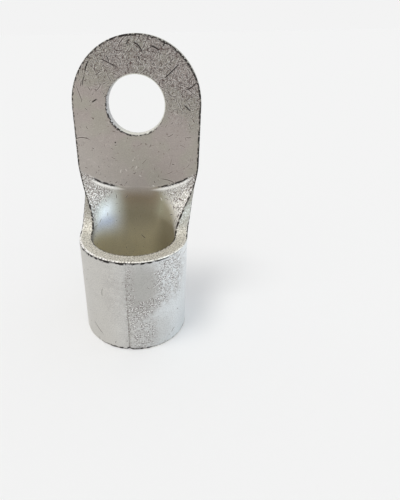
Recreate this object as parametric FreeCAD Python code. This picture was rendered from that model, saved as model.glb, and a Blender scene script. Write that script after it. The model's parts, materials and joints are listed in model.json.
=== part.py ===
"""Uninsulated copper cable lug with a round ring tongue, tin plated all over.

The lug is one stamping. A flat blank with a round head, a waist and two wings is rolled until the wings
meet, and the joint between them is brazed shut, so the barrel is a closed tube with a fine seam down its
front. Above the barrel the sheet opens out into a scoop, and the tongue is coined flat in a press.

Frame: millimetres, +Z along the barrel from the cable's mouth towards the tongue, origin on the barrel's
axis at the mouth. The tongue stands behind the axis, at +Y, and the seam faces -Y. The lug stands on the
mouth of its barrel.
"""

import FreeCAD, Part
import math
import os

# Sheet and barrel
SHEET = 2.9                 # thickness of the copper sheet, and so of the barrel's wall
BARREL_BORE = 19.2          # inside diameter, for the stranded conductor
BARREL_LENGTH = 24.0

# Tongue
TONGUE_WIDTH = 29.0
STUD_HOLE = 13.0            # clears an M12 stud
HOLE_ABOVE_RIM = 27.0       # from the barrel's upper rim to the hole's centre
CROWN_BELOW_HOLE = 0.2      # how far the round head's centre lies under the hole's
COIN_DEPTH = 0.25           # how far the press sinks the tongue's front below the sheet

# Neck between barrel and tongue, measured on the flat blank and up from the barrel's upper rim
WAIST_WIDTH = 26.1          # narrowest place of the blank
SHOULDER_RADIUS = 6.0       # inside corner between a wing and the waist
FLARE_LENGTH = 11.5         # over this height the round section opens out flat
TAPER_START = 3.0           # from here up the waist widens
TAPER_LENGTH = 14.0         # up to here, where it is as wide as the tongue

# Crease at the lower border of the coined area, a curve that hangs in the middle
CREASE_ABOVE_RIM = 7.65     # its lowest point
CREASE_RISE = 4.4           # how much higher it ends at the tongue's two edges
CREASE_POWER = 2.6          # 2 is a parabola, and more is flatter in the middle
CREASE_FADE = 0.03          # height of the step that is left in the middle

# Brazed seam and broken edges
SEAM_WIDTH = 0.5
SEAM_DEPTH = 0.12
EDGE_BREAK = 0.25           # at the barrel's mouth and round the stud hole

# How finely the curves are drawn, and how far a cutting shape reaches past what it cuts
NECK_STATIONS = 28
POINTS_ACROSS = 24
MARGIN = 5.0
TOUCH = 0.001               # surfaces this close are one where the sheet's three stretches join

bore_radius = BARREL_BORE / 2
outer_radius = bore_radius + SHEET
hole_radius = STUD_HOLE / 2
head_radius = TONGUE_WIDTH / 2
waist = WAIST_WIDTH / 2
hole_height = BARREL_LENGTH + HOLE_ABOVE_RIM
crown_centre = hole_height - CROWN_BELOW_HOLE
taper_top = BARREL_LENGTH + TAPER_LENGTH
sheet_front = bore_radius
coined_front = sheet_front + COIN_DEPTH
shoulder_arc = SHOULDER_RADIUS * math.pi / 2
edge_length = shoulder_arc + TAPER_LENGTH - SHOULDER_RADIUS

V = FreeCAD.Vector
ORIGIN, UP, BACK = V(0, 0, 0), V(0, 0, 1), V(0, 1, 0)


def curvature(rise):
    """Curvature of the sheet's inside at a height above the rim: the bore's there, fading out to flat."""
    share = min(rise / FLARE_LENGTH, 1.0)
    return (1 - share) ** 3 * (1 + 3 * share) / bore_radius


def cut_edge(travel):
    """Half width and rise of the blank at a distance along its cut edge.

    The edge follows the shoulder's arc and then climbs, and over both it widens to the tongue by a soft S.
    """
    turn = min(travel / SHOULDER_RADIUS, math.pi / 2)
    rise = SHOULDER_RADIUS * (1 - math.cos(turn)) + max(travel - shoulder_arc, 0)
    share = max(rise - TAPER_START, 0) / (TAPER_LENGTH - TAPER_START)
    widening = (head_radius - waist) * (1 - math.cos(math.pi * share)) / 2
    return waist + SHOULDER_RADIUS * (1 - math.sin(turn)) + widening, rise


def press_depth(rise, across):
    """How far the scoop's floor is pressed below the sheet, most in the middle where it meets the tongue."""
    share = min(rise / CREASE_ABOVE_RIM, 1.0)
    return (COIN_DEPTH - CREASE_FADE) * share ** 2 * (3 - 2 * share) * (1 - across ** 2) ** 2


def rolled(rise, along, depth):
    """Where a point of the flat blank lies once rolled, from its place along mid sheet and its depth."""
    angle = along * curvature(rise) / (1 + curvature(rise) * SHEET / 2)
    z = BARREL_LENGTH + rise
    if abs(angle) < 1e-6:
        return V(along, sheet_front + depth, z)
    centre_radius = along / angle
    radius = centre_radius - SHEET / 2 + depth
    return V(radius * math.sin(angle), sheet_front + SHEET / 2 - centre_radius + radius * math.cos(angle), z)


def station(travel):
    """Closed outline of the sheet from cut edge to cut edge: inside curve, edge, outside curve, edge.

    Its middle climbs evenly while its ends follow the shoulder, so no two stations cross.
    """
    half, end_rise = cut_edge(travel)
    middle_rise = TAPER_LENGTH * travel / edge_length
    inside, outside = [], []
    for i in range(POINTS_ACROSS + 1):
        across = 2 * i / POINTS_ACROSS - 1
        rise = middle_rise + (end_rise - middle_rise) * across ** 2
        inside.append(rolled(rise, across * half, press_depth(rise, across)))
        outside.append(rolled(rise, across * half, SHEET))
    left_edge = Part.makeLine(outside[0], inside[0])
    right_edge = Part.makeLine(inside[-1], outside[-1])
    return Part.Wire([curve_through(inside), right_edge, curve_through(outside[::-1]), left_edge])


def curve_through(points):
    """Smooth curve through evenly spaced points, as an edge."""
    curve = Part.BSplineCurve()
    curve.interpolate(Points=points, Parameters=[i / (len(points) - 1) for i in range(len(points))])
    return curve.toShape()


def tube(radius, bottom, top):
    """Solid round bar on the barrel's axis, with the start of its surface at the seam."""
    bar = Part.makeCylinder(radius, top - bottom, V(0, 0, bottom), UP)
    return bar.rotate(ORIGIN, UP, -90)


def barrel():
    """The closed tube that takes the conductor, open at both ends."""
    return tube(outer_radius, 0, BARREL_LENGTH).cut(tube(bore_radius, 0, BARREL_LENGTH))


def neck():
    """The open part of the rolled sheet, from the barrel's rim up to where it is flat and full wide."""
    travels = [edge_length * i / NECK_STATIONS for i in range(NECK_STATIONS + 1)]
    return Part.makeLoft([station(travel) for travel in travels], True, False)


def tongue():
    """Flat plate above the neck, round at its head, before it is coined."""
    low_left, low_right = V(-head_radius, sheet_front, taper_top), V(head_radius, sheet_front, taper_top)
    high_left, high_right = V(-head_radius, sheet_front, crown_centre), V(head_radius, sheet_front, crown_centre)
    crown = V(0, sheet_front, crown_centre + head_radius)
    outline = Part.Wire([
        Part.makeLine(low_left, low_right),
        Part.makeLine(low_right, high_right),
        Part.Arc(high_right, crown, high_left).toShape(),
        Part.makeLine(high_left, low_left),
    ])
    return Part.Face(outline).extrude(BACK * SHEET)


def stud_hole():
    """Round bar that punches the hole."""
    start = V(0, sheet_front - MARGIN, hole_height)
    return Part.makeCylinder(hole_radius, SHEET + 2 * MARGIN, start, BACK)


def crease_height(x):
    """Height of the coined area's lower border."""
    return BARREL_LENGTH + CREASE_ABOVE_RIM + CREASE_RISE * (abs(x) / head_radius) ** CREASE_POWER


def coined_away():
    """What the press takes off the tongue's front, down to the hanging crease."""
    reach = head_radius + MARGIN
    top = hole_height + head_radius + MARGIN
    xs = [reach * (2 * i / POINTS_ACROSS - 1) for i in range(POINTS_ACROSS + 1)]
    crease = [V(x, coined_front, crease_height(x)) for x in xs]
    left, right = V(-reach, coined_front, top), V(reach, coined_front, top)
    outline = Part.Wire([
        curve_through(crease),
        Part.makeLine(crease[-1], right),
        Part.makeLine(right, left),
        Part.makeLine(left, crease[0]),
    ])
    return Part.Face(outline).extrude(BACK * -(COIN_DEPTH + MARGIN))


def seam_groove():
    """Thin round bar that leaves the shallow groove along the brazed joint."""
    radius = (SEAM_WIDTH ** 2 / 4 + SEAM_DEPTH ** 2) / (2 * SEAM_DEPTH)
    start = V(0, SEAM_DEPTH - outer_radius - radius, -MARGIN)
    return Part.makeCylinder(radius, BARREL_LENGTH + 2 * MARGIN, start, UP)


def is_broken(edge):
    """True for the circles at the barrel's mouth and at both ends of the stud hole."""
    if not isinstance(edge.Curve, Part.Circle):
        return False
    at_mouth = abs(edge.Curve.Center.z) < TOUCH
    round_hole = abs(edge.Curve.Radius - hole_radius) < TOUCH and abs(edge.Curve.Center.z - hole_height) < TOUCH
    return at_mouth or round_hole


def cable_lug():
    """The whole lug as one solid."""
    sheet = barrel().fuse([neck(), tongue()], TOUCH).removeSplitter()
    pressed = sheet.cut([coined_away(), stud_hole()]).Solids[0]
    tumbled = pressed.makeChamfer(EDGE_BREAK, [edge for edge in pressed.Edges if is_broken(edge)])
    return tumbled.cut(seam_groove()).Solids[0]


os.makedirs("parts", exist_ok=True)
cable_lug().exportStep("parts/cable_lug.step")
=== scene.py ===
"""The cable lug's portrait: one welded mesh of the rolled sheet, tin plated, standing on a pale floor.

The sheet is worked out as a flat blank and then rolled. A place on the blank is a distance along the sheet
from the middle of the back, positive to the right, and a height above the barrel's mouth. Depth counts from
the bore's radius outwards: 0 on the sheet's front, which is the barrel's inside, and the thickness on its
back. Lengths are in metres, apart from patterns, fields and marks, which count in millimetres.
"""

import json
import math

import bmesh
import bpy
import numpy as np
from mathutils import Matrix, Vector


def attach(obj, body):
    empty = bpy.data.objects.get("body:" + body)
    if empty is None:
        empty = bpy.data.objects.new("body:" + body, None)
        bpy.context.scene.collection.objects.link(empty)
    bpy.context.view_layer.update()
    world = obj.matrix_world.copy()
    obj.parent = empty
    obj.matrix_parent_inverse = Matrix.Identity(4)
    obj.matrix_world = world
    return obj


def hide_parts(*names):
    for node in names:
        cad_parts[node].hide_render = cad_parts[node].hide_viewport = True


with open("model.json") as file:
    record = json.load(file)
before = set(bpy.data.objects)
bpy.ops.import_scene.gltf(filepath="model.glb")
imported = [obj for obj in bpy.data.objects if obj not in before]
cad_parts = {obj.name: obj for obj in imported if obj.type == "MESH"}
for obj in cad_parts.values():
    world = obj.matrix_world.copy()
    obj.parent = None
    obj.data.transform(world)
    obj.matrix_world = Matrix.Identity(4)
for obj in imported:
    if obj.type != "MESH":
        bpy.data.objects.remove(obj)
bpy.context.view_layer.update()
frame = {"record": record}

MM = 0.001

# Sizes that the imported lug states
mounts = {mount["name"]: mount for mount in frame["record"]["mounts"]}
BORE_RADIUS = mounts["barrel_bore"]["dims"]["r_mm"] * MM
HOLE_RADIUS = mounts["stud_hole"]["dims"]["r_mm"] * MM
HOLE_HEIGHT = mounts["stud_hole"]["pos_m"][2]
COINED_FRONT = mounts["tongue_front"]["pos_m"][1]
TONGUE_BACK = mounts["tongue_back"]["pos_m"][1]
HEAD_RADIUS = frame["record"]["size"]["bbox_m"][0] / 2
SHEET = TONGUE_BACK - BORE_RADIUS
COIN_DEPTH = COINED_FRONT - BORE_RADIUS

# Sizes of the rolled blank, as it was modelled
BARREL_LENGTH = 24 * MM
WAIST = 13.05 * MM
SHOULDER_RADIUS = 6 * MM
FLARE_LENGTH = 11.5 * MM
TAPER_START = 3 * MM
TAPER_LENGTH = 14 * MM
CROWN_BELOW_HOLE = 0.2 * MM
CREASE_ABOVE_RIM = 7.65 * MM
CREASE_RISE = 4.4 * MM
CREASE_POWER = 2.6
CREASE_FADE = 0.03 * MM
SEAM_WIDTH = 0.5 * MM
SEAM_DEPTH = 0.12 * MM

HALF_TURN = math.pi * (BORE_RADIUS + SHEET / 2)
SHOULDER = WAIST + SHOULDER_RADIUS
SHOULDER_ARC = SHOULDER_RADIUS * math.pi / 2
TAPER_TOP = BARREL_LENGTH + TAPER_LENGTH
HOLE_CENTRE = np.array([0, HOLE_HEIGHT])

# The coined face's border: a bead and a step above it, which run out before the cut edges
STEP_WIDTH = 0.4 * MM
LIP_RISE = 0.09 * MM
CREASE_END = 11.2 * MM
CREASE_RUN_OUT = 1.8 * MM
FLANK_LENGTH = 3 * MM

# The crevice, which gets painted shade, and the lip, which gets a painted highlight: places above the crease
# and reaches, in step widths
CREVICE_PLACE = 0.2
CREVICE_REACH = 0.4
LIP_PLACE = -1.5
LIP_REACH = 0.8
LEAST_REACH = 0.3

# How far the crease's bright line reaches from the middle, on the left and on the right
LINE_START = 3.0 * MM
LINE_GROWTH = 3.4 * MM
LEFT_LINE_END = 10.2 * MM
RIGHT_LINE_END = 11.4 * MM
LINE_FADE = 2.2 * MM

# What shearing, tumbling and plating leave of the sharp edges
ROUND = 0.2 * MM
RIM_GROOVE_DROP = 0.38 * MM
RIM_GROOVE_WIDTH = 0.18 * MM
RIM_GROOVE_DEPTH = 0.1 * MM
RIM_GROOVE_FADE = 15 * MM
NARROWEST_GROOVE = 0.8
FAINTEST_GROOVE = 0.25
CHIP_DEPTH = 0.3 * MM
CHIP_SIZE = 0.45 * MM

# The barrel's slight waves: their depth, and for each its count round the barrel and the height of one radian
WAVE_DEPTH = 0.02 * MM
WAVES = [(4, 5.3 * MM), (7, -3.9 * MM)]
WAVE_FADE = 2 * MM

# How the seam strays from a straight line: by how much, and the height of one radian
SEAM_WANDER = [(0.05 * MM, 3.1 * MM), (0.02 * MM, 0.9 * MM)]

# The pressed finish, which carries painted shade, fades down into the scoop from the crease, and from the
# tongue's back to the barrel's
PRESSED_FRONT = (-3 * MM, 1 * MM)
PRESSED_BACK = (BARREL_LENGTH + 8 * MM, BARREL_LENGTH + 13 * MM)

# The scuffed flanks: where they start beside the middle, and where their slanting foot lies above the rim
FLANK_START = 4 * MM
FLANK_GROWTH = 3.5 * MM
FLANK_FOOT = 6 * MM
FLANK_SLANT = 0.7
FLANK_FOOT_FADE = 4 * MM

# The inside: where the left side starts, where the hollow with its painted shade lies, and where the painted
# sheen ends below
LEFT_SIDE = (-2.3 * MM, -9.5 * MM)
HOLLOW_RIGHT = (3.6 * MM, 10.1 * MM)
HOLLOW_FOOT = (BARREL_LENGTH - 7 * MM, BARREL_LENGTH + 3 * MM)
LOW_RIGHT_START = (2 * MM, 9 * MM)
LOW_RIGHT_TOP = (BARREL_LENGTH + 9 * MM, BARREL_LENGTH + 4 * MM)
LOW_RIGHT_TARNISH_AND_SHADE = 0.8
SHEEN_FOOT = (15.8 * MM, 22.4 * MM)
SHEEN_SLANT = 0.25
SHEEN_LOSS_ON_FLANK = 0.85

# Where the painted shade along the sheared corners stays faint, with the places at the hole in its radii, and
# how faint each is
HOLE_CORNER = (1.25, 1.15)
HOLE_UNSHADED_SIDE = (-3.0, 1.0)
HOLE_SLANT = 1.6
RIM_CORNER = (20 * MM, 23 * MM)
UPPER_LEFT_ACROSS = (-3 * MM, -9 * MM)
UPPER_LEFT_UP = (30 * MM, 36 * MM)
MOUTH_CORNER = (1 * MM, 0)
MOUTH_OFF_SEAM = (2 * MM, 6 * MM)
UNSHADED_SHARES = (0.85, 0.85, 0.35, 0.82)

# Soft fields on the barrel's outside: distance right of the seam, height, reach sideways and up, and strength
PIT_FIELDS = [
    (0.5, 12, 1.3, 15, 1.0),
    (2.6, 11.4, 2.8, 2.6, 1.7),
    (2.8, 4.5, 3.6, 7, 1.1),
    (6.2, 13, 3.4, 2.2, 1.1),
    (9.0, 18.5, 4.8, 7, 1.2),
    (12.5, 19, 3.5, 5, 0.6),
    (8.0, 6.0, 5, 5, 0.2),
    (-2.2, 16, 3, 8, 0.55),
    (-14, 14, 1.5, 2.5, 0.4),
]
DULL_FIELDS = [
    (3.0, 17, 3.6, 8, 1.0),
    (3.0, 5, 4.5, 7, 0.2),
    (6.0, 4, 4, 5, 0.4),
]

# Mesh density, and how much the grids crowd towards an edge, where 1 is even
ACROSS_STEPS = 116
FRONT_STEPS = 48
BARREL_STEPS = 46
UNDER_RIM_STEPS = 16
UNDER_RIM = 1.4 * MM
SCOOP_STEPS = 46
COINED_STEPS = 26
SIDE_STEPS = 44
CROWN_STEPS = 150
HEAD_STEPS = 26
CORNER_STEPS = 5
CUT_FACE_STEPS = 11
SCOOP_CROWDING = 1.35
COINED_CROWDING = 1.6
FRONT_CROWDING = 1.8

# The power by which the scoop's lowest row climbs to its ends, and how finely edges are followed and joined
RIM_POWER = 2
SHORT_WAY = 1e-6
WELD_DISTANCE = 1e-7
HALVINGS = 40

# Sides of the sheet, ends of a grid, and the numbers of the two finishes
FRONT, BACK = 0, 1
FIRST, LAST = 0, -1
ROLLED_FINISH, CUT_FINISH = 0, 1
MIRROR = np.array([-1, 1])

# Where the patterns of the sheet's back and of the cut faces start, so that none repeats another
BACK_PATTERN = 150.0
CUT_PATTERN = 400.0


def smooth(share):
    """Rises from 0 to 1 with level ends, as 3 t^2 - 2 t^3."""
    share = np.clip(share, 0, 1)
    return share ** 2 * (3 - 2 * share)


def between(value, start, end):
    """Goes smoothly from 0 at start to 1 at end, which may be the smaller of the two."""
    return smooth((value - start) / (end - start))


def hump(distance):
    """Bell of height 1 at 0, as exp(-t^2)."""
    return np.exp(-distance ** 2)


def curvature(height):
    """Curvature of the sheet's inside: 1 / bore up to the rim, times (1 - t)^3 (1 + 3 t) until it is flat."""
    share = np.clip((height - BARREL_LENGTH) / FLARE_LENGTH, 0, 1)
    return (1 - share) ** 3 * (1 + 3 * share) / BORE_RADIUS


def roll(along, height, depth):
    """Carries flat-blank places to the rolled sheet: level sections are arcs of length along at mid sheet.

    x is (1 / k + off) sin(k s) and y falls back by (1 - cos(k s)) / k, written with sinc so that k may be 0.
    """
    bend = curvature(height)
    mid_bend = bend / (1 + bend * SHEET / 2)
    angle = along * mid_bend
    off = depth - SHEET / 2
    x = along * np.sinc(angle / np.pi) + off * np.sin(angle)
    sagitta = along * (angle / 2) * np.sinc(angle / 2 / np.pi) ** 2
    y = BORE_RADIUS + SHEET / 2 - sagitta + off * np.cos(angle)
    return np.stack([x, y, height], -1)


def crease_height(along):
    """Lower border of the coined face: a curve that hangs in the middle, lowest + rise |s / r|^p."""
    return BARREL_LENGTH + CREASE_ABOVE_RIM + CREASE_RISE * np.abs(along / HEAD_RADIUS) ** CREASE_POWER


def steps_above_crease(along, height):
    """Height above the crease, in widths of its step."""
    return (height - crease_height(along)) / STEP_WIDTH


def taper(rise):
    """Half width of the blank by height above the rim, without the shoulder: half a cosine wave."""
    share = np.clip((rise - TAPER_START) / (TAPER_LENGTH - TAPER_START), 0, 1)
    return WAIST + (HEAD_RADIUS - WAIST) * (1 - np.cos(np.pi * share)) / 2


def right_of_seam(along):
    """Distance from the seam round the barrel's front, to the right."""
    return np.where(along > 0, HALF_TURN - along, -HALF_TURN - along)


def on_barrel(height):
    """True for the barrel and its rim."""
    return height < BARREL_LENGTH + MM


def on_wing(along):
    """1 for the two wings that close the barrel beyond the shoulders, 0 for the stretch between them."""
    return between(np.abs(along), SHOULDER - MM, SHOULDER + MM)


def line_share(along):
    """How far the crease is a bright line under a dark one: 1 on both flanks, 0 between and beside them."""
    end = np.where(along < 0, LEFT_LINE_END, RIGHT_LINE_END)
    off = np.abs(along)
    return smooth((off - LINE_START) / LINE_GROWTH) * (1 - smooth((off - end) / LINE_FADE))


def crevice(along, height):
    """How far into the step of the crease a place lies, 0 to 1, for the painted shade there."""
    share = line_share(along)
    off = steps_above_crease(along, height) - CREVICE_PLACE
    return hump(off / (LEAST_REACH + CREVICE_REACH * share)) * share


def lip(along, height):
    """How near the bead under the step a place lies, 0 to 1; it raises the bead and carries its painted
    highlight.
    """
    share = line_share(along)
    off = steps_above_crease(along, height) - LIP_PLACE
    return hump(off / (LEAST_REACH + LIP_REACH * share)) * np.sqrt(share)


def pressed(along, height):
    """Share of the pressed finish and its painted shade: sharp at the lines, and fading over 4 mm between and
    beside them.
    """
    share = line_share(along)
    soft = between(height - crease_height(along), *PRESSED_FRONT)
    return smooth(steps_above_crease(along, height)) * share + soft * (1 - share)


def flank(along, height):
    """How far a place lies on the scuffed flanks beside the scoop, below the crease, 0 to 1."""
    out = np.abs(along) - FLANK_START
    below = 1 - smooth(steps_above_crease(along, height))
    above_foot = height - BARREL_LENGTH - FLANK_FOOT + FLANK_SLANT * out
    return smooth(out / FLANK_GROWTH) * below * smooth(above_foot / FLANK_FOOT_FADE)


def left_side(along):
    """How far left of the hollow a place inside lies, 0 to 1."""
    return between(along, *LEFT_SIDE)


def scoop(along, height):
    """How far a place lies in the hollow, 0 to 1, which is tarnished brown with painted shade: between the
    flanks, and low on the right.
    """
    middle = (1 - left_side(along)) * (1 - between(along, *HOLLOW_RIGHT)) * between(height, *HOLLOW_FOOT)
    low_right = between(along, *LOW_RIGHT_START) * between(height, *LOW_RIGHT_TOP)
    return np.maximum(middle, LOW_RIGHT_TARNISH_AND_SHADE * low_right)


def sheen(along, height):
    """How strongly the painted sheen, a bluish reflection, lies inside, 0 to 1: only on the left, from the
    flank down into the bore.
    """
    above_foot = between(height + SHEEN_SLANT * along, *SHEEN_FOOT)
    return left_side(along) * above_foot * (1 - SHEEN_LOSS_ON_FLANK * flank(along, height))


def fields(along, height, spots):
    """The strongest of some soft fields on the barrel's outside: each is strength times exp(-d^4)."""
    right = right_of_seam(along)
    levels = []
    for field_right, field_height, wide, high, strength in spots:
        off = ((right / MM - field_right) / wide) ** 2 + ((height / MM - field_height) / high) ** 2
        levels.append(strength * np.exp(-off ** 2))
    return np.max(levels, 0) * on_barrel(height)


def corner_shade(along, height, back_side):
    """How much painted shade lies along the sheared corners, 0 to 1.

    It is fainter round the hole's upper right, along the rim, on the tongue's left and round the mouth.
    """
    off_hole = np.hypot(along, height - HOLE_HEIGHT) / HOLE_RADIUS
    upper_right = (along + HOLE_SLANT * (height - HOLE_HEIGHT)) / HOLE_RADIUS
    at_hole = between(off_hole, *HOLE_CORNER) * between(upper_right, *HOLE_UNSHADED_SIDE)
    at_rim = back_side * on_wing(along) * between(height, *RIM_CORNER)
    upper_left = between(along, *UPPER_LEFT_ACROSS) * between(height, *UPPER_LEFT_UP)
    off_seam = between(np.abs(right_of_seam(along)), *MOUTH_OFF_SEAM)
    at_mouth = back_side * between(height, *MOUTH_CORNER) * off_seam
    unshaded = [share * place for share, place in zip(UNSHADED_SHARES, (at_hole, at_rim, upper_left, at_mouth))]
    return 1 - np.max(unshaded, 0)


def scoop_floor(along, height):
    """Depth of the scoop's front: pressed towards the coined face in the middle and at the crease's ends."""
    rise = height - BARREL_LENGTH
    across = np.clip(along / taper(rise), -1, 1)
    middle = (COIN_DEPTH - CREASE_FADE) * smooth(rise / CREASE_ABOVE_RIM) * (1 - across ** 2) ** 2
    run_out = smooth((np.abs(along) - CREASE_END) / CREASE_RUN_OUT)
    nearing = smooth(1 + (height - crease_height(along)) / FLANK_LENGTH)
    return middle + (COIN_DEPTH - middle) * run_out * nearing


def front_depth(along, height):
    """Depth of the sheet's front: scoop below the crease, a raised bead, the step, the coined face."""
    floor = scoop_floor(along, height)
    step = smooth(steps_above_crease(along, height))
    return floor + (COIN_DEPTH - floor) * step - LIP_RISE * lip(along, height)


def seam_line(along, height):
    """How near a place lies to the brazed seam, 0 to 1, for the barrel only; the seam wanders a little."""
    wander = sum(size * np.sin(height / radian) for size, radian in SEAM_WANDER)
    right = along - HALF_TURN + wander
    left = along + HALF_TURN + wander
    off = np.where(np.abs(right) < np.abs(left), right, left)
    return hump(2 * off / SEAM_WIDTH) * on_barrel(height)


def rim_groove(along, height):
    """How far into the groove under the rim's burr a place lies, 0 to 1, and deeper left of the seam."""
    left = between(right_of_seam(along), RIM_GROOVE_FADE, 0)
    drop = (BARREL_LENGTH - RIM_GROOVE_DROP - height) / (RIM_GROOVE_WIDTH * (NARROWEST_GROOVE + left))
    return hump(drop) * on_wing(along) * (FAINTEST_GROOVE + (1 - FAINTEST_GROOVE) * left)


def chip(along, height):
    """Notch that the seam leaves in the barrel's mouth, 0 to 1."""
    off = (HALF_TURN - np.abs(along)) / CHIP_SIZE
    return hump(off) * hump(height / (2 * CHIP_SIZE))


def waves(along, height):
    """Slight waves that the rolling leaves on the barrel's outside, 0 to 1: the mean of sines that slant."""
    turn = np.pi * along / HALF_TURN
    total = sum(1 + np.sin(count * turn + height / radian) for count, radian in WAVES)
    return total / (2 * len(WAVES)) * between(height, BARREL_LENGTH, BARREL_LENGTH - WAVE_FADE)


def back_depth(along, height):
    """Depth of the sheet's back: the full thickness, less seam, groove, chip and the waves of the rolling."""
    sunk = SEAM_DEPTH * seam_line(along, height) + RIM_GROOVE_DEPTH * rim_groove(along, height)
    return SHEET - sunk - CHIP_DEPTH * chip(along, height) - WAVE_DEPTH * waves(along, height)


# Cut edges: each is a pair of arrays, its places on the blank and its normals that point into the sheet


def edge_place(travel):
    """Right cut edge by distance from the shoulder's start: a quarter circle, then a line, plus the taper."""
    turn = np.clip(travel / SHOULDER_RADIUS, 0, np.pi / 2)
    rise = SHOULDER_RADIUS * (1 - np.cos(turn)) + np.maximum(travel - SHOULDER_ARC, 0)
    return np.stack([taper(rise) + SHOULDER_RADIUS * (1 - np.sin(turn)), BARREL_LENGTH + rise], -1)


def cut_edge(travel):
    """The right cut edge at some distances; its normals are the way ahead, turned to the left."""
    place = edge_place(travel)
    ahead = edge_place(travel + SHORT_WAY) - place
    ahead /= np.linalg.norm(ahead, axis=-1, keepdims=True)
    return place, np.stack([-ahead[:, 1], ahead[:, 0]], -1)


def level_edge(along, height, way_in):
    """A level cut edge, whose sheet lies above it where way_in is 1 and below it where it is -1."""
    place = np.stack([along, height + 0 * along], -1)
    return place, np.broadcast_to([0.0, way_in], place.shape)


def stretch(edge, first, last=None):
    """Part of a cut edge."""
    return tuple(part[first:last] for part in edge)


def mirrored(edge):
    """The same cut edge on the blank's other side, run the other way."""
    return tuple((part * MIRROR)[::-1] for part in edge)


def chained(*edges):
    """Several cut edges one after the other."""
    return tuple(np.concatenate(parts) for parts in zip(*edges))


def inset(edge):
    """The line where the rounding of a cut edge starts."""
    place, inward = edge
    return place + inward * ROUND


def travel_at_crease():
    """Distance along the cut edge at which the crease's line runs out over it, by halving."""
    low, high = SHOULDER_ARC, SHOULDER_ARC + TAPER_LENGTH
    for _ in range(HALVINGS):
        middle = (low + high) / 2
        place = edge_place(np.array([middle]))
        if place[0, 1] < crease_height(place[0, 0]):
            low = middle
        else:
            high = middle
    return low


class Blank:
    """Collects nodes and faces of the blank, each node with its place and its share of the thickness."""

    def __init__(self):
        self.nodes = []
        self.faces = []
        self.finishes = []
        self.count = 0

    def grid(self, place, gap, share, pattern, corner, finish, flip=False):
        """Adds a grid of flat places, distances from the nearer surface and shares, 0 front to 1 back.

        pattern is the place that scratches and pits follow, corner the nearness to a sharp corner, and
        finish the material's number.
        """
        size = place.shape[:2]
        gap, share, corner = (np.broadcast_to(part, size)[..., None] for part in (gap, share, corner))
        self.nodes.append(np.concatenate([place, gap, share, pattern, corner], -1).reshape(-1, 7))
        index = self.count + np.arange(size[0] * size[1]).reshape(size)
        quads = np.stack([index[:-1, :-1], index[:-1, 1:], index[1:, 1:], index[1:, :-1]], -1).reshape(-1, 4)
        self.faces.append(quads[:, ::-1] if flip else quads)
        self.finishes.append(np.full(len(quads), finish))
        self.count += size[0] * size[1]

    def rolled_face(self, place, side, borders):
        """Adds a patch of the sheet's front or back; borders are its lines along the cut edges."""
        corner = np.zeros(place.shape[:2])
        for border in borders:
            corner[border] = 1
        self.grid(place, 0, side, place / MM + [BACK_PATTERN * side, 0], corner, ROLLED_FINISH, side == BACK)

    def cut_face(self, edge):
        """Adds the rounded strip along a cut edge, from the front surface to the back."""
        line, inward = edge
        turn = np.linspace(0, np.pi / 2, CORNER_STEPS + 1)
        flat = np.linspace(0, 1, CUT_FACE_STEPS + 1)[1:-1]
        sunk = ROUND * np.concatenate([1 - np.sin(turn), 0 * flat, 1 - np.sin(turn[::-1])])
        gap = ROUND * np.concatenate([1 - np.cos(turn), 1 + 0 * flat, 1 - np.cos(turn[::-1])])
        share = np.concatenate([0 * turn, flat, 1 + 0 * turn])
        corner = np.concatenate([1 + 0 * turn, 0 * flat, 1 + 0 * turn])
        place = line[:, None] + inward[:, None] * sunk[:, None]
        run = np.concatenate([[0], np.cumsum(np.linalg.norm(np.diff(line, axis=0), axis=1))]) / MM
        pattern = np.stack(np.broadcast_arrays(run[:, None] + CUT_PATTERN, share * SHEET / MM), -1)
        self.grid(place, gap, share, pattern, corner, CUT_FINISH)

    def mesh_data(self):
        """Rolled places of all nodes, their patterns and masks, the faces and the faces' finishes."""
        nodes = np.concatenate(self.nodes)
        along, height, gap, share = nodes[:, :4].T
        front = front_depth(along, height) + gap
        back = back_depth(along, height) - gap
        places = roll(along, height, front + (back - front) * share)
        masks = all_masks(along, height, share, nodes[:, 6])
        return places, nodes[:, 4:6], masks, np.concatenate(self.faces), np.concatenate(self.finishes)


def all_masks(along, height, share, corner):
    """What the materials read from the mesh, by name: most lies on one side of the sheet and fades across."""
    front_side, back_side = 1 - share, share
    return {
        "pressed": pressed(along, height) * front_side + between(height, *PRESSED_BACK) * back_side,
        "inside": front_side,
        "edge": corner * corner_shade(along, height, back_side),
        "scoop": scoop(along, height) * front_side,
        "flank": flank(along, height) * front_side,
        "lip": lip(along, height) * front_side,
        "crevice": crevice(along, height) * front_side,
        "sheen": sheen(along, height) * front_side,
        "pitted": fields(along, height, PIT_FIELDS) * back_side,
        "dulled": fields(along, height, DULL_FIELDS) * back_side,
        "groove": rim_groove(along, height) * back_side,
        "seam": seam_line(along, height) * back_side,
    }


def rows_between(edge_right, middle_heights, powers):
    """Rows from the left cut edge to the right one: height leaves the middle's by |s / end|^p."""
    across = np.linspace(-1, 1, ACROSS_STEPS + 1)
    ends, end_heights = edge_right[:, :1], edge_right[:, 1:]
    middle = middle_heights[:, None]
    height = middle + (end_heights - middle) * np.abs(across) ** powers[:, None]
    return np.stack([ends * across, height], -1)


def crowd(count, power):
    """Shares from 0 to 1 that crowd towards 1."""
    return 1 - (1 - np.linspace(0, 1, count + 1)) ** power


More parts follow.
